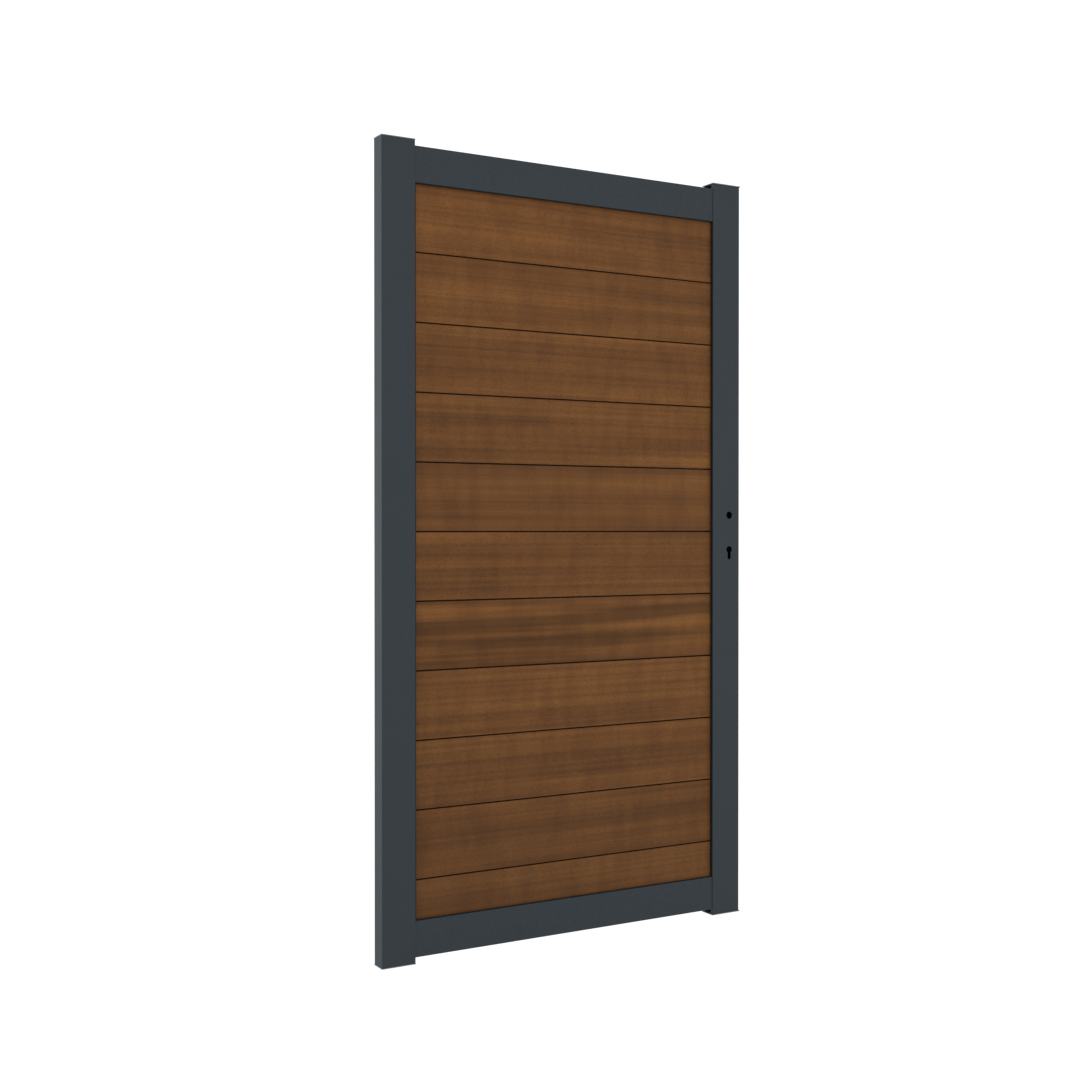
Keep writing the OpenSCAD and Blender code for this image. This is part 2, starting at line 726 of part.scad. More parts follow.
module cover_screws() {
    color("silver") at_lock() for (p = post_spots)
        translate([p[0], -case_t / 2, p[1]]) rotate([-90, 0, 0]) {
            cylinder(h = case_t / 2, d = cover_screw_d);
            translate([0, 0, -cover_screw_d / 2]) cylinder(h = cover_screw_d / 2, d = cover_screw_d * 1.8);
        }
}

module faceplate_screws() {
    color("silver") at_lock() for (z = faceplate_screw_z) translate([0, 0, z]) rotate([0, -90, 0])
        countersunk_screw(screw_d, faceplate_t + lug_t - 1);
}

// Heights of the rivets, past each end of the faceplate
function lug_rivet_z() = [faceplate_low_z - lug_l / 2, faceplate_top_z + lug_l / 2];

module fixing_lugs() {
    color("lightgray") at_lock() for (k = [0, 1]) {
        outward = k == 0 ? -1 : 1;
        end_z = k == 0 ? faceplate_low_z : faceplate_top_z;
        screw_z = faceplate_screw_z[k];
        inner_z = screw_z - outward * 8;
        outer_z = end_z + outward * lug_l;
        difference() {
            union() {
                span([-faceplate_t - lug_t, -lug_w / 2, min(inner_z, outer_z)],
                     [-faceplate_t, lug_w / 2, max(inner_z, outer_z)]);
                span([-faceplate_t, -lug_w / 2, min(end_z + outward, outer_z)],
                     [-wall, lug_w / 2, max(end_z + outward, outer_z)]);
            }
            translate([0, 0, screw_z]) rotate([0, -90, 0]) countersunk_hole(screw_d, faceplate_t + lug_t + eps);
            translate([0, 0, lug_rivet_z()[k]]) rotate([0, -90, 0]) countersunk_hole(rivet_d, wall + lug_t + 2);
        }
    }
}

module lug_rivets() {
    color("lightgray") at_lock() for (z = lug_rivet_z()) translate([0, 0, z]) rotate([0, -90, 0])
        countersunk_screw(rivet_d, faceplate_t + lug_t);
}

spindle(false);  // lower_pivot_spindle
spindle(true);  // upper_pivot_spindle
thrust_washer(false);  // lower_thrust_washer
thrust_washer(true);  // upper_thrust_washer
retaining_rings();  // pivot_retaining_rings
hinge_stile();
lock_stile();
rail(true);  // top_rail
rail(false);  // bottom_rail
cap(false, false);  // hinge_bottom_cap
cap(false, true);  // hinge_top_cap
cap(true, false);  // lock_bottom_cap
cap(true, true);  // lock_top_cap
pivot_plug(false);  // lower_pivot_plug
pivot_plug(true);  // upper_pivot_plug
bush(false);  // lower_pivot_bush
bush(true);  // upper_pivot_bush
anchor_block(false);  // lower_anchor_block
anchor_block(true);  // upper_anchor_block
connector(false, false);  // hinge_lower_connector
connector(false, true);  // hinge_upper_connector
connector(true, false);  // lock_lower_connector
connector(true, true);  // lock_upper_connector
connector_bolts();
rail_screws();
block_screws();
side_seal(false);  // hinge_side_seal
side_seal(true);  // lock_side_seal
rail_seal(true);  // top_seal
rail_seal(false);  // bottom_seal
setting_blocks();
lock_case();
lock_cover();
faceplate();
latch_bolt();
latch_spring();
deadbolt();
deadbolt_detent();
follower();
follower_spring();
cover_screws();
faceplate_screws();
fixing_lugs();
lug_rivets();
for (i = [1 : board_count]) board(i);
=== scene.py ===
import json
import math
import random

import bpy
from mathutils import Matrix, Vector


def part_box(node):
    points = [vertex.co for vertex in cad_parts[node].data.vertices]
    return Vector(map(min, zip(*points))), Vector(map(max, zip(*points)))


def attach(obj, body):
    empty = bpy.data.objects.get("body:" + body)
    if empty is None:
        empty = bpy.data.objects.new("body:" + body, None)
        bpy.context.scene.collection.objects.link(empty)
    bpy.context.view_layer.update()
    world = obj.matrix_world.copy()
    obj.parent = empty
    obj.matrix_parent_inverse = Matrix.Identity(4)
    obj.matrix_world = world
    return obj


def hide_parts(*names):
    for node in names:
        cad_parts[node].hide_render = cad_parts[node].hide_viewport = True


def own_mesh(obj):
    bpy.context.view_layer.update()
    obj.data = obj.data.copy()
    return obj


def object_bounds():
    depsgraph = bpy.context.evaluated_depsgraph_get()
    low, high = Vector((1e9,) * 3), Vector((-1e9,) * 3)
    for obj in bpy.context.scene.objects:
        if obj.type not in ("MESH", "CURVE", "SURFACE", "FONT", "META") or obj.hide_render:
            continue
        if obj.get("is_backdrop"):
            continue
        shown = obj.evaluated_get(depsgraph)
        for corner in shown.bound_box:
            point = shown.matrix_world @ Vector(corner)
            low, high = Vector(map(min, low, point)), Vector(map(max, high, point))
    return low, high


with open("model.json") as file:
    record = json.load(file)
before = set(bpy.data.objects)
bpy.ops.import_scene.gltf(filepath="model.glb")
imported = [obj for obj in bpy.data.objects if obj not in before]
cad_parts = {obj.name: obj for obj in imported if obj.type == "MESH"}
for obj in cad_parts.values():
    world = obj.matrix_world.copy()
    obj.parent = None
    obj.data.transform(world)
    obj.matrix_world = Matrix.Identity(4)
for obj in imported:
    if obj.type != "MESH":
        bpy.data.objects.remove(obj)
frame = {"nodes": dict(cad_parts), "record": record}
cad_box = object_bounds()

# %% [markdown]
# # A garden gate leaf
# The gate is an aluminium frame of two stiles and two rails around eleven tongue-and-groove
# boards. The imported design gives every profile, hole and lock part its place, so this lesson
# keeps those parts and gives them their finishes. It models anew what the hand and the eye
# meet first and what a plain solid can't show: the boards, the moulded caps and the springs.

# %% [markdown]
# ## Tools
# Every piece here starts as a primitive and is shaped in edit mode, as by hand. A modelling
# operator acts on all that is selected, so each tool first says what it works on, and faces
# and edges are found by their place. Lengths are metres, and MM turns millimetres into them.
# Two places count as the same when they are NEAR.

MM = 0.001
NEAR = 0.1 * MM
leaf_low, leaf_high = cad_box
print("design box, mm:", [round(v / MM, 1) for v in leaf_high - leaf_low])


def deselect():
    """Leaves nothing selected, so that an operator acts only on what is chosen next."""
    if bpy.context.object and bpy.context.object.mode != "OBJECT":
        bpy.ops.object.mode_set(mode="OBJECT")
    bpy.ops.object.select_all(action="DESELECT")


def choose(piece):
    """Makes one piece the only selected and active one."""
    deselect()
    piece.select_set(True)
    bpy.context.view_layer.objects.active = piece


def block(name, low, high):
    """A box primitive between two corners, with its place in its mesh."""
    deselect()
    bpy.ops.mesh.primitive_cube_add(size=1, location=(Vector(low) + Vector(high)) / 2)
    piece = bpy.context.object
    piece.name = name
    piece.scale = Vector(high) - Vector(low)
    bpy.ops.object.transform_apply(location=True, rotation=True, scale=True)
    return piece


def pick(piece, kind, wanted):
    """In edit mode, selects only the faces or edges for which wanted(element, mesh) is true."""
    bpy.ops.mesh.select_mode(type=kind)
    bpy.ops.mesh.select_all(action="DESELECT")
    bpy.ops.object.mode_set(mode="OBJECT")
    mesh = piece.data
    elements = mesh.polygons if kind == "FACE" else mesh.edges
    for element in elements:
        element.select = wanted(element, mesh)
    count = sum(element.select for element in elements)
    bpy.ops.object.mode_set(mode="EDIT")
    return count


def cut(point, normal, clear_below=False):
    """Bisects everything in edit mode by a plane, and may drop what lies behind it."""
    bpy.ops.mesh.select_all(action="SELECT")
    bpy.ops.mesh.bisect(plane_co=point, plane_no=normal, clear_inner=clear_below, use_fill=clear_below)


def push(move):
    """Extrudes the selected faces by a move in metres."""
    bpy.ops.mesh.extrude_region_move(TRANSFORM_OT_translate={"value": move})


def apply_modifier(piece, kind, **settings):
    """Adds one modifier with its settings, and applies it."""
    choose(piece)
    modifier = piece.modifiers.new(kind.lower(), kind)
    for key, value in settings.items():
        setattr(modifier, key, value)
    bpy.ops.object.modifier_apply(modifier=modifier.name)


def soften(piece):
    """Shades a piece smooth, but keeps the edges that turn by more than forty degrees."""
    choose(piece)
    bpy.ops.object.shade_smooth_by_angle(angle=math.radians(40))


def own_copy(piece, name):
    """A copy of a piece with its own mesh."""
    copy = piece.copy()
    copy.data = piece.data.copy()
    copy.name = name
    bpy.context.scene.collection.objects.link(copy)
    return copy


# %% [markdown]
# ## The camera
# The gate is seen from its hinge side, a little over three metres away, with the camera level
# with the middle of the leaf and turned thirty degrees. A lens of 48.7 mm on a 36 mm sensor,
# close to a normal lens, gives the boards their mild narrowing towards the lock.

# %% Camera
CAMERA_PLACE = Vector((-1.3156, -2.9081, 0.9519))
CAMERA_TURN = 30.22
CAMERA_DIP = 0.433
LENS_MM = 48.7
SENSOR_MM = 36
bpy.ops.object.camera_add(
    location=CAMERA_PLACE,
    rotation=(math.radians(90 - CAMERA_DIP), 0, math.radians(-CAMERA_TURN)),
)
camera = bpy.context.object
camera.data.lens = LENS_MM
camera.data.sensor_width = SENSOR_MM
bpy.context.scene.camera = camera
print("camera stands", round((CAMERA_PLACE - (leaf_low + leaf_high) / 2).length, 2), "m off")

# %% [markdown]
# ## Materials
# Each finish is a small node tree around one Principled shader. Patterns read Object
# coordinates, which are metres here, so a scale of one over the size of a feature is its
# real size. One helper adds a node with its settings and its links.


# %% Colour and node helpers
def tint(hex_code):
    """A colour written as sRGB hex, turned linear."""
    channels = [int(hex_code[i : i + 2], 16) / 255 for i in (1, 3, 5)]
    linear = [c / 12.92 if c <= 0.04045 else ((c + 0.055) / 1.055) ** 2.4 for c in channels]
    return (*linear, 1)


def add(material, kind, settings=None, stops=(), **inputs):
    """Adds a node: its properties, a ramp's (place, hex) stops from low to high, and its inputs.

    An input is a value or an output to link. i0 stands for the input with number 0.
    """
    node = material.node_tree.nodes.new("ShaderNode" + kind)
    for key, value in (settings or {}).items():
        setattr(node, key, value)
    for index, (place, colour) in enumerate(stops):
        ends = node.color_ramp.elements
        end = ends[index] if index < len(ends) else ends.new(place)
        end.position = place
        end.color = tint(colour)
    for key, value in inputs.items():
        socket = node.inputs[int(key[1:]) if key[1:].isdigit() else key.replace("_", " ")]
        if isinstance(value, bpy.types.NodeSocket):
            material.node_tree.links.new(value, socket)
        else:
            socket.default_value = value
    return node


def new_material(name, **shader_values):
    """A material with its Principled shader set from plain values."""
    material = bpy.data.materials.new(name)
    material.use_nodes = True
    shader = material.node_tree.nodes["Principled BSDF"]
    for key, value in shader_values.items():
        shader.inputs[key.replace("_", " ")].default_value = value
    return material, shader


def connect(material, output, shader, socket):
    """Links one output to a socket of the shader."""
    material.node_tree.links.new(output, shader.inputs[socket])


# %% [markdown]
# ### Powder coat
# Polyester powder, sprayed dry and baked on at 200 degrees, in anthracite grey. It leaves a
# satin skin with a fine orange peel, about a millimetre across, and a faint speckle. Both are
# drawn coarser than real, so that they show from three metres: the peel at 2 mm and the
# speckle at 5 mm. Soft clouds 180 mm across vary the gloss a little, as handling does.

# %% Powder coat
powder_coat, shader = new_material("anthracite_powder_coat", IOR=1.45)
place = add(powder_coat, "TexCoord").outputs["Object"]
speckle = add(powder_coat, "TexNoise", Vector=place, Scale=1 / (5 * MM), Detail=3.0, Roughness=0.7)
coat_tones = [(0.3, "#2e373d"), (0.7, "#354047")]
speckled = add(powder_coat, "ValToRGB", stops=coat_tones, Fac=speckle.outputs["Fac"])
connect(powder_coat, speckled.outputs["Color"], shader, "Base Color")
peel = add(powder_coat, "TexNoise", Vector=place, Scale=1 / (2 * MM), Detail=1.0)
peel_bump = add(powder_coat, "Bump", Height=peel.outputs["Fac"], Strength=0.12, Distance=0.1 * MM)
connect(powder_coat, peel_bump.outputs["Normal"], shader, "Normal")
cloud = add(powder_coat, "TexNoise", Vector=place, Scale=1 / (180 * MM), Detail=3.0)
gloss = add(powder_coat, "MapRange", Value=cloud.outputs["Fac"], To_Min=0.46, To_Max=0.58)
connect(powder_coat, gloss.outputs["Result"], shader, "Roughness")
print("powder coat is built from", len(powder_coat.node_tree.nodes), "nodes")

# %% [markdown]
# ### Oiled board
# Planed hardwood, oiled to a warm brown, with straight grain along the board. The pattern is
# built from five sizes of mark, each multiplied over the one before. Broad soft bands are 50 mm
# high and run the length of a board. Growth streaks are 9 mm high. Smoky patches 34 mm high
# darken some boards, and a faint figure crosses the grain every 38 mm. Pores give a speckle,
# drawn at 5 by 3 mm, which is several times coarser than real, so that it shows. Each board
# carries its own shift of the pattern, its tone and its smokiness as attributes, so no grain
# runs on from one board to the next.

# %% Oiled board
oiled_board, shader = new_material("oiled_board", IOR=1.4)
place = add(oiled_board, "TexCoord").outputs["Object"]
shift = add(oiled_board, "Attribute", {"attribute_name": "grain_shift"}).outputs["Vector"]
spot = add(oiled_board, "VectorMath", {"operation": "ADD"}, i0=place, i1=shift).outputs["Vector"]


def marks(length, height, detail=2.0, roughness=0.5):
    """Noise drawn out along the board: one mark is length by height, in mm."""
    stretch = (1 / (length * MM), 1 / (height * MM), 1 / (height * MM))
    stretched = add(oiled_board, "VectorMath", {"operation": "MULTIPLY"}, i0=spot, i1=stretch)
    spread = stretched.outputs["Vector"]
    noise = add(oiled_board, "TexNoise", Vector=spread, Scale=1.0, Detail=detail, Roughness=roughness)
    return noise.outputs["Fac"]


pores = marks(5, 3, 2.0, 0.7)
smokiness = add(oiled_board, "Attribute", {"attribute_name": "smokiness"}).outputs["Fac"]
tone = add(oiled_board, "Attribute", {"attribute_name": "tone"}).outputs["Color"]
# Each layer: its marks, its colours from low to high, and how strongly it multiplies the bands
LAYERS = [
    (marks(1400, 9, 3.0, 0.5), [(0.3, "#e2dfd6"), (0.62, "#ffffff")], 1.0),
    (marks(800, 34, 2.0, 0.4), [(0.38, "#b2ad86"), (0.55, "#ffffff")], smokiness),
    (marks(38, 120), [(0.35, "#eeebe8"), (0.6, "#ffffff")], 1.0),
    (pores, [(0.32, "#d8d9cd"), (0.5, "#eeebe6"), (0.68, "#f9f3ec")], 1.0),
]
MULTIPLY = {"data_type": "RGBA", "blend_type": "MULTIPLY"}
band_tones = [(0.3, "#875729"), (0.5, "#96622f"), (0.7, "#a46e37")]
grain = add(oiled_board, "ValToRGB", stops=band_tones, Fac=marks(1100, 50)).outputs["Color"]
for factor, stops, strength in LAYERS:
    over = add(oiled_board, "ValToRGB", stops=stops, Fac=factor).outputs["Color"]
    grain = add(oiled_board, "Mix", MULTIPLY, i0=strength, i6=grain, i7=over).outputs[2]
toned = add(oiled_board, "Mix", MULTIPLY, i0=1.0, i6=grain, i7=tone).outputs[2]
connect(oiled_board, toned, shader, "Base Color")
pore_bump = add(oiled_board, "Bump", Height=pores, Strength=0.12, Distance=0.2 * MM)
connect(oiled_board, pore_bump.outputs["Normal"], shader, "Normal")
dull = add(oiled_board, "MapRange", Value=pores, To_Min=0.75, To_Max=0.6)
connect(oiled_board, dull.outputs["Result"], shader, "Roughness")
print("oiled board multiplies", len(LAYERS), "layers over its bands")

# %% [markdown]
# ### Plastics and rubber
# The caps are injection-moulded ASA with a spark-eroded grain of about half a millimetre,
# drawn at 1.2 mm so that it shows. The sealing strips are extruded EPDM, black and matte, and
# their tone is set darker than the rubber's own as painted shade for the narrow gap they line
# beside the boards. The setting blocks are moulded too, and the thrust washers are turned from
# white acetal. The four finishes differ only in tone, gloss, grain and bump, so one function
# makes them.


# %% Plastics and rubber
def grained(name, dark, light, roughness, grain, bump, stretch=(1, 1, 1)):
    """A moulded or extruded finish: two close tones and a bump, both on a grain in mm."""
    material, shader = new_material(name, Roughness=roughness, IOR=1.5)
    place = add(material, "TexCoord").outputs["Object"]
    drawn = add(material, "Mapping", Vector=place, Scale=stretch)
    noise = add(material, "TexNoise", Vector=drawn.outputs["Vector"], Scale=1 / (grain * MM), Detail=2.0)
    tones = add(material, "ValToRGB", stops=[(0.3, dark), (0.7, light)], Fac=noise.outputs["Fac"])
    connect(material, tones.outputs["Color"], shader, "Base Color")
    rise = add(material, "Bump", Height=noise.outputs["Fac"], Strength=bump, Distance=0.1 * MM)
    connect(material, rise.outputs["Normal"], shader, "Normal")
    return material


moulded_cap = grained("moulded_asa_cap", "#7c7c7c", "#898989", 0.5, 1.2, 0.3)
# Black EPDM, made darker than rubber's own tone as painted shade for the gap beside the boards
rubber_and_gap_shade = grained("epdm_strip_with_gap_shade", "#070707", "#0f0e0e", 0.8, 2.0, 0.4, (0.1, 1, 1))
moulded_block = grained("moulded_setting_block", "#1f2123", "#2c2f31", 0.6, 2.0, 0.3)
turned_acetal = grained("turned_acetal", "#cfcdc4", "#e0ded6", 0.4, 3.0, 0.1)
print("plastics:", [m.name for m in (moulded_cap, rubber_and_gap_shade, moulded_block, turned_acetal)])

# %% [markdown]
# ### Metals
# Mill-finish aluminium shows the die's lines along the extrusion. The bolts are zinc plated,
# with soft cloudy patches, and the lock's case and follower are zinc plated and black
# passivated. That near-black finish also serves as painted shade, and it keeps the holes in the
# stile as dark as the shadow inside them. The faceplate and the spindles are stainless steel
# with a brushed grain, the bushes are sintered bronze, and the springs are drawn, oil-hardened
# wire. On bare metal a scratch changes tone and gloss together, so both follow the same noise.


# %% Metals
def metal(name, dark, light, low_rough, high_rough, grain, stretch):
    """A bare metal: tone and roughness both follow one grain in mm, drawn out by stretch."""
    material, shader = new_material(name, Metallic=1.0)
    place = add(material, "TexCoord").outputs["Object"]
    drawn = add(material, "Mapping", Vector=place, Scale=stretch)
    noise = add(material, "TexNoise", Vector=drawn.outputs["Vector"], Scale=1 / (grain * MM), Detail=3.0)
    tones = add(material, "ValToRGB", stops=[(0.3, dark), (0.7, light)], Fac=noise.outputs["Fac"])
    connect(material, tones.outputs["Color"], shader, "Base Color")
    rough = add(material, "MapRange", Value=noise.outputs["Fac"], To_Min=low_rough, To_Max=high_rough)
    connect(material, rough.outputs["Result"], shader, "Roughness")
    rise = add(material, "Bump", Height=noise.outputs["Fac"], Strength=0.15, Distance=0.05 * MM)
    connect(material, rise.outputs["Normal"], shader, "Normal")
    return material


mill_aluminium = metal("mill_aluminium", "#a9abad", "#c4c6c8", 0.35, 0.5, 1.5, (1, 1, 0.05))
# Near-black: the zinc's black passivation, and painted shade for the holes in the stile
black_zinc = metal("black_zinc_with_hole_shade", "#0d0d0e", "#1a1a1b", 0.45, 0.6, 14, (1, 1, 1))
zinc_plate = metal("zinc_plated_steel", "#8e908c", "#b0b2ac", 0.3, 0.5, 14, (1, 1, 1))
brushed_stainless = metal("brushed_stainless", "#a8a9aa", "#c6c7c8", 0.22, 0.38, 1.2, (1, 1, 0.04))
sintered_bronze = metal("sintered_bronze", "#8a6a3c", "#a98450", 0.45, 0.6, 1.0, (1, 1, 1))
spring_wire = metal("drawn_spring_wire", "#55575a", "#74777b", 0.3, 0.42, 2.0, (1, 1, 1))
print("materials so far:", len(bpy.data.materials))

# %% [markdown]
# ## Finishes on the design's own parts
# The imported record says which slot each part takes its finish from. One loop puts the
# material of that slot on the part, so a part that is added later is finished as well.

# %% Finishes by slot
FINISHES = {
    "powder_coat": powder_coat,
    "cap_plastic": moulded_cap,
    "board_wood": oiled_board,
    "seal_rubber": rubber_and_gap_shade,
    "block_plastic": moulded_block,
    "mill_aluminium": mill_aluminium,
    "black_zinc": black_zinc,
    "zinc_steel": zinc_plate,
    "stainless": brushed_stainless,
    "bronze": sintered_bronze,
    "spring_steel": spring_wire,
    "washer_plastic": turned_acetal,
}
slot_of = {part["node"]: part["material_slot"] for part in frame["record"]["subparts"]}
for name, part in frame["nodes"].items():
    for holder in part.material_slots:
        holder.material = FINISHES[slot_of[name]]
print("finished", len(slot_of), "parts in", len(FINISHES), "finishes")


def fit(piece, node):
    """Finishes a new piece: it takes the node's slot, stands for it, and rides on the leaf."""
    piece.data.materials.clear()
    piece.data.materials.append(FINISHES[slot_of[node]])
    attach(piece, "leaf")
    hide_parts(node)


# %% [markdown]
# ## The boards
# A board is planed with a tongue on its top edge, a groove under it, and its face set 3 mm
# short at the top, so that a dark line shows between two boards. The back shoulders meet.
# One full board is made from a box: bisecting planes mark the tongue, faces are extruded up
# for the back shoulder and then the tongue, and a cutter takes out the groove. The face's long
# edges are then rounded by 1.2 mm, as a planer's cutter leaves them, and the back's by 0.8 mm.
# Each place gets a copy.

# %% One full board
TONGUE_T = 6 * MM
TONGUE_L = 8 * MM
BOARD_GAP = 3 * MM
GROOVE_L = TONGUE_L + 1 * MM
GROOVE_PLAY = 0.2 * MM
EDGE_ROUND = 1.2 * MM
BACK_ROUND = 0.8 * MM
LONG_EDGE = 10 * MM
low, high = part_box("board_2")
face_top = high.z - TONGUE_L - BOARD_GAP
master = block("board_master", low, (high.x, high.y, face_top))
bpy.ops.object.mode_set(mode="EDIT")
for side in (-1, 1):
    cut((0, side * TONGUE_T / 2, 0), (0, 1, 0))


def level_strip(level, y_from, y_to):
    """Picks the faces that look up at one level, between two depths."""
    return lambda f, mesh: (
        f.normal.z > 0.9 and abs(f.center.z - level) < NEAR and y_from < f.center.y < y_to
    )


pick(master, "FACE", level_strip(face_top, -TONGUE_T / 2, high.y))
push((0, 0, BOARD_GAP))
pick(master, "FACE", level_strip(face_top + BOARD_GAP, -TONGUE_T / 2, TONGUE_T / 2))
push((0, 0, TONGUE_L))
bpy.ops.object.mode_set(mode="OBJECT")
groove_y = TONGUE_T / 2 + GROOVE_PLAY
cutter_low = (low.x - MM, -groove_y, low.z - MM)
cutter_high = (high.x + MM, groove_y, low.z + GROOVE_L)
cutter = block("groove_cutter", cutter_low, cutter_high)
apply_modifier(master, "BOOLEAN", object=cutter, operation="DIFFERENCE", solver="EXACT")
bpy.data.objects.remove(cutter)
choose(master)
bpy.ops.object.mode_set(mode="EDIT")


def long_edge(side_y, top_z):
    """Picks a side's two long edges, which lie at one depth, at the board's foot and at top_z."""

    def on_side(e, mesh):
        a, b = (mesh.vertices[v].co for v in e.vertices)
        along = abs(a.x - b.x) > LONG_EDGE and abs(a.y - side_y) < NEAR and abs(b.y - side_y) < NEAR
        return along and min(abs(a.z - low.z), abs(a.z - top_z)) < NEAR

    return on_side


back_top = face_top + BOARD_GAP
for side_y, top_z, radius in ((low.y, face_top, EDGE_ROUND), (high.y, back_top, BACK_ROUND)):
    rounded = pick(master, "EDGE", long_edge(side_y, top_z))
    bpy.ops.mesh.bevel(offset=radius, segments=4, profile=0.5)
bpy.ops.object.mode_set(mode="OBJECT")
print("rounded", rounded, "long edges on each side of the board")

# %% [markdown]
# What repeats is modelled once, so the full board is copied down the leaf, each copy to the
# place of its board. The lowest is ripped: its copy is bisected at the height where the saw
# went. Neighbouring boards come from different trees, so each has its own tone, which changes
# along it, and its own part of the grain's pattern, up to 20 m off. That shift comes from a
# seeded draw, so the same boards come out in the same order every time. Faces inside a joint
# get a darker tone as painted shade, for the shadow that falls into the joint.

# %% Eleven boards
# Tone at the hinge end, tone at the lock end and smokiness of each board, from the top
BOARD_LOOKS = [
    (1.06, 0.87, 0.1), (1.02, 0.94, 0.25), (0.9, 0.99, 0.1), (0.85, 1.0, 0.3), (0.78, 0.91, 0.15),
    (0.93, 0.86, 0.1), (1.07, 0.98, 0.85), (0.88, 0.94, 0.2), (0.78, 0.91, 0.1), (0.74, 0.86, 0.1),
    (0.7, 0.8, 0.15),
]
# Painted shade: the share of a board's tone left on faces inside a joint, where shadow falls
JOINT_SHADE = 0.15
GRAIN_SPAN = 20
GRAIN_START = (-0.2, 0, 0.014)
draw = random.Random(12)


def carry(piece, name, kind, field, value_at):
    """Gives each point of a piece its values of an attribute, worked out from its place."""
    attribute = piece.data.attributes.new(name, kind, "POINT")
    values = [value for point in piece.data.vertices for value in value_at(point.co)]
    attribute.data.foreach_set(field, values)


def board_tone_with_joint_shade(hinge_tone, lock_tone):
    """Tone that runs evenly along a board, with painted shade on what lies inside the joints."""

    def tone_with_joint_shade_at(point):
        along = (point.x - low.x) / (high.x - low.x)
        # Points inside a joint get painted shade
        inside = low.y + EDGE_ROUND + NEAR < point.y < 0
        return [(hinge_tone + (lock_tone - hinge_tone) * along) * (JOINT_SHADE if inside else 1)] * 3

    return tone_with_joint_shade_at


boards = sorted((n for n in frame["nodes"] if n.startswith("board_")), key=lambda n: int(n[6:]))
for node in boards:
    board_low, board_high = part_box(node)
    piece = own_copy(master, "planed_" + node)
    piece.data.transform(Matrix.Translation((0, 0, board_high.z - high.z)))
    if board_high.z - board_low.z < high.z - low.z - MM:
        choose(piece)
        bpy.ops.object.mode_set(mode="EDIT")
        cut(board_low, (0, 0, 1), clear_below=True)
        bpy.ops.object.mode_set(mode="OBJECT")
    shift = [draw.uniform(start, start + GRAIN_SPAN) for start in GRAIN_START]
    hinge_tone, lock_tone, smokiness = BOARD_LOOKS[int(node[6:]) - 1]
    carry(piece, "grain_shift", "FLOAT_VECTOR", "vector", lambda point: shift)
    carry(piece, "tone", "FLOAT_VECTOR", "vector", board_tone_with_joint_shade(hinge_tone, lock_tone))
    carry(piece, "smokiness", "FLOAT", "value", lambda point: [smokiness])
    soften(piece)
    fit(piece, node)
bpy.data.objects.remove(master)
print("laid", len(boards), "boards")

# %% [markdown]
# ## The end caps
# Each stile end is closed by a moulded cap, a plate that overhangs the stile a little, with two
# legs that push into the profile's small chambers. The plate starts as a box. Bisecting planes
# mark the legs, which are extruded from its inner face, and the plate's rim is rounded. On the
# hinge side a drill takes out the way for the pivot, as a Boolean, because a round hole
# through a flat plate is quickest made so.

# %% Caps
LEG_L = 12 * MM
LEG_Y = (14.2 * MM, 17.8 * MM)
LEG_FROM_GROOVE = (2.2 * MM, 24.8 * MM)
RIM_ROUND = 0.6 * MM
PIVOT_WAY_R = 12.3 * MM
CAP_T = 2 * MM
WAY_SIDES = 64


def rim_edge(e, mesh):
    """The cap's outer edges: those that run along the plate's border or up its corners."""
    a, b = (mesh.vertices[v].co for v in e.vertices)
    flat = abs(a.z - b.z) < NEAR
    on_face = abs(a.z - outer_z) < NEAR and flat
    sides = ((0, cap_low.x), (0, cap_high.x), (1, cap_low.y), (1, cap_high.y))
    border = any(abs(a[axis] - edge) < NEAR and abs(b[axis] - edge) < NEAR for axis, edge in sides)
    return border and (on_face or not flat)


for node in ("hinge_bottom_cap", "hinge_top_cap", "lock_bottom_cap", "lock_top_cap"):
    cap_low, cap_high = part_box(node)
    upper = "top" in node
    outer_z = cap_high.z if upper else cap_low.z
    inner_z = outer_z - CAP_T if upper else outer_z + CAP_T
    plate_low = (cap_low.x, cap_low.y, min(outer_z, inner_z))
    plate_high = (cap_high.x, cap_high.y, max(outer_z, inner_z))
    plate = block("moulded_" + node, plate_low, plate_high)
    stile_low, stile_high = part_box(node.split("_")[0] + "_stile")
    if node.startswith("hinge"):
        leg_x = sorted(stile_high.x - reach for reach in LEG_FROM_GROOVE)
    else:
        leg_x = sorted(stile_low.x + reach for reach in LEG_FROM_GROOVE)
    bpy.ops.object.mode_set(mode="EDIT")
    for x in leg_x:
        cut((x, 0, 0), (1, 0, 0))
    for y in LEG_Y:
        for side in (-1, 1):
            cut((0, side * y, 0), (0, 1, 0))
    pick(plate, "FACE", lambda f, mesh: (
        abs(f.center.z - inner_z) < NEAR
        and leg_x[0] < f.center.x < leg_x[1]
        and LEG_Y[0] < abs(f.center.y) < LEG_Y[1]
    ))
    push((0, 0, -LEG_L if upper else LEG_L))
    pick(plate, "EDGE", rim_edge)
    bpy.ops.mesh.bevel(offset=RIM_ROUND, segments=3, profile=0.5)
    bpy.ops.object.mode_set(mode="OBJECT")
    if node.startswith("hinge"):
        deselect()
        bpy.ops.mesh.primitive_cylinder_add(
            vertices=WAY_SIDES, radius=PIVOT_WAY_R, depth=4 * CAP_T, location=(0, 0, (outer_z + inner_z) / 2)
        )
        drill = bpy.context.object
        bpy.ops.object.transform_apply(location=True, rotation=True, scale=True)
        apply_modifier(plate, "BOOLEAN", object=drill, operation="DIFFERENCE", solver="EXACT")
        bpy.data.objects.remove(drill)
    soften(plate)
    fit(plate, node)
print("moulded four caps")

# %% [markdown]
# ## The lock's springs
# Two compression springs work inside the lock: one behind the latch bolt and one under the
# follower's lug. Both are wound from round wire, so a ring of twelve sides is the wire's
# section, and a Screw modifier winds it. The ends are closed, and the spring is laid along its
# own axis.


# %% Springs
WIRE_SIDES = 12
STEPS_A_TURN = 24


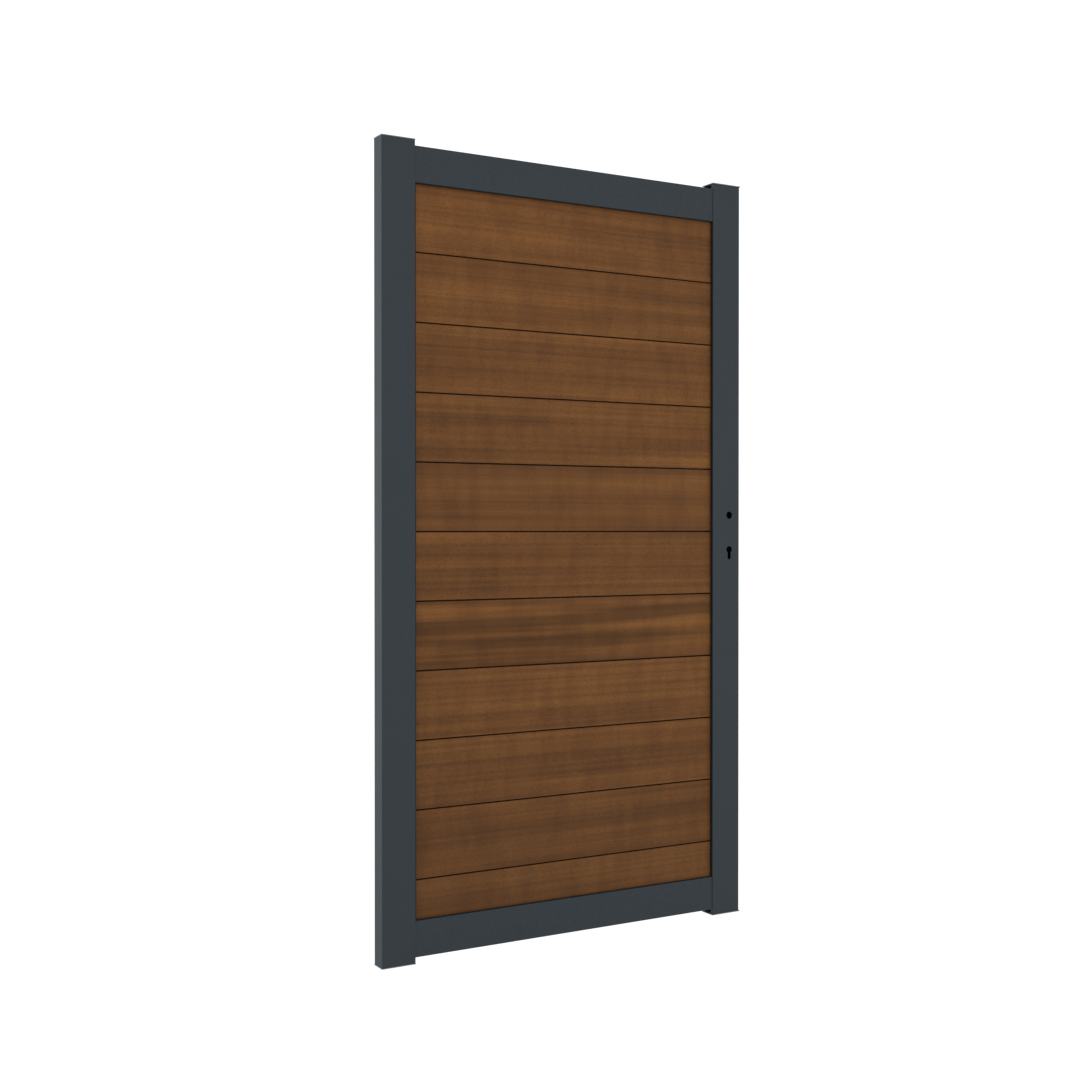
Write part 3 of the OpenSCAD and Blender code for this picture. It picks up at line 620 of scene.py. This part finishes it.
def wound_spring(node, axis, wire, turns):
    """Winds a spring into the node's box, along axis."""
    spring_low, spring_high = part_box(node)
    middle = (spring_low + spring_high) / 2
    size = spring_high - spring_low
    length = size.x if axis == "X" else size.z
    reach = size.y / 2 - wire / 2
    deselect()
    start = (reach, 0, wire / 2 - length / 2)
    bpy.ops.mesh.primitive_circle_add(
        vertices=WIRE_SIDES, radius=wire / 2, location=start, rotation=(math.pi / 2, 0, 0)
    )
    spring = bpy.context.object
    spring.name = "wound_" + node
    bpy.ops.object.transform_apply(location=True, rotation=True, scale=True)
    apply_modifier(
        spring, "SCREW", axis="Z", iterations=turns, screw_offset=(length - wire) / turns,
        steps=STEPS_A_TURN, render_steps=STEPS_A_TURN, use_merge_vertices=False,
    )
    bpy.ops.object.mode_set(mode="EDIT")
    bpy.ops.mesh.select_all(action="SELECT")
    bpy.ops.mesh.fill_holes(sides=0)
    bpy.ops.mesh.select_all(action="SELECT")
    bpy.ops.mesh.normals_make_consistent(inside=False)
    bpy.ops.object.mode_set(mode="OBJECT")
    if axis == "X":
        spring.rotation_euler = (0, math.pi / 2, 0)
    spring.location = middle
    bpy.ops.object.transform_apply(location=True, rotation=True, scale=True)
    bpy.ops.object.shade_smooth()
    fit(spring, node)
    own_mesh(spring)
    print(spring.name, "is", round(length / MM, 1), "mm long at rest")


wound_spring("latch_spring", "X", wire=0.8 * MM, turns=12)
wound_spring("follower_spring", "Z", wire=1.0 * MM, turns=8)

# %% [markdown]
# ## Floor and light
# A plain pale floor runs far past the gate, and the sky behind is white. What the camera sees
# of both is brighter than what they cast on the gate, so that the ground is clean and the dark
# frame keeps its depth. The light is soft and comes from all round, with four wide panels:
# high on the left in front, low on the right in front, beside the hinge stile, whose edge it
# brightens, and behind.

# %% Floor
FLOOR_SEEN = 0.95
FLOOR_CAST = 0.42
FLOOR_SIZE = 80
FLOOR_DROP = 1 * MM
deselect()
bpy.ops.mesh.primitive_plane_add(size=FLOOR_SIZE, location=(0, 0, leaf_low.z - FLOOR_DROP))
floor = bpy.context.object
floor.name = "floor"
bpy.ops.object.transform_apply(location=True, rotation=True, scale=True)
pale, shader = new_material("pale_floor", Base_Color=tint("#909090"), Roughness=0.9)
shader.inputs["Emission Color"].default_value = tint("#ffffff")
seen_by = add(pale, "LightPath").outputs["Is Camera Ray"]
glow = add(pale, "MapRange", Value=seen_by, To_Min=FLOOR_CAST, To_Max=FLOOR_SEEN)
connect(pale, glow.outputs["Result"], shader, "Emission Strength")
floor.data.materials.append(pale)
floor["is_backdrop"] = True
print("floor lies", round(FLOOR_DROP / MM, 1), "mm under the leaf")

# %% Light
SKY_SEEN = 1.1
SKY_CAST = 0.5
world = bpy.data.worlds.new("white")
bpy.context.scene.world = world
world.use_nodes = True
background = world.node_tree.nodes["Background"]
seen_by = add(world, "LightPath").outputs["Is Camera Ray"]
glow = add(world, "MapRange", Value=seen_by, To_Min=SKY_CAST, To_Max=SKY_SEEN)
background.inputs["Color"].default_value = tint("#ffffff")
world.node_tree.links.new(glow.outputs["Result"], background.inputs["Strength"])
bpy.context.scene.view_settings.view_transform = "Standard"


def panel(name, place, target, size, power):
    """A square soft light, size metres wide and of so many watts, that looks at a point."""
    bpy.ops.object.light_add(type="AREA", location=place)
    lamp = bpy.context.object
    lamp.name = name
    lamp.rotation_euler = (Vector(target) - Vector(place)).to_track_quat("-Z", "Y").to_euler()
    lamp.data.size = size
    lamp.data.energy = power
    print(name, "gives", power, "W")


panel("high_left_panel", (-1.0, -4.0, 3.5), (0.4, 0, 1.0), 2.5, 27)
panel("hinge_side_panel", (-4.0, 1.0, 1.2), (0, 0, 0.9), 4.0, 80)
panel("front_right_panel", (3.6, -4.0, 1.2), (0.5, 0, 0.9), 3.0, 15)
panel("back_left_panel", (-2.2, 4.6, 1.4), (0, 0, 0.9), 4.0, 20)

# %% [markdown]
# ## Sizes
# The design's box was taken before anything was changed. The new pieces stay inside it, and
# how far anything grows past that box is printed.

# %% Sizes, and the end
new_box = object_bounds()
grown_low = [round(max(0, a - b) / MM, 3) for a, b in zip(cad_box[0], new_box[0])]
grown_high = [round(max(0, b - a) / MM, 3) for a, b in zip(cad_box[1], new_box[1])]
print("grown past the design by, mm:", grown_low, grown_high)
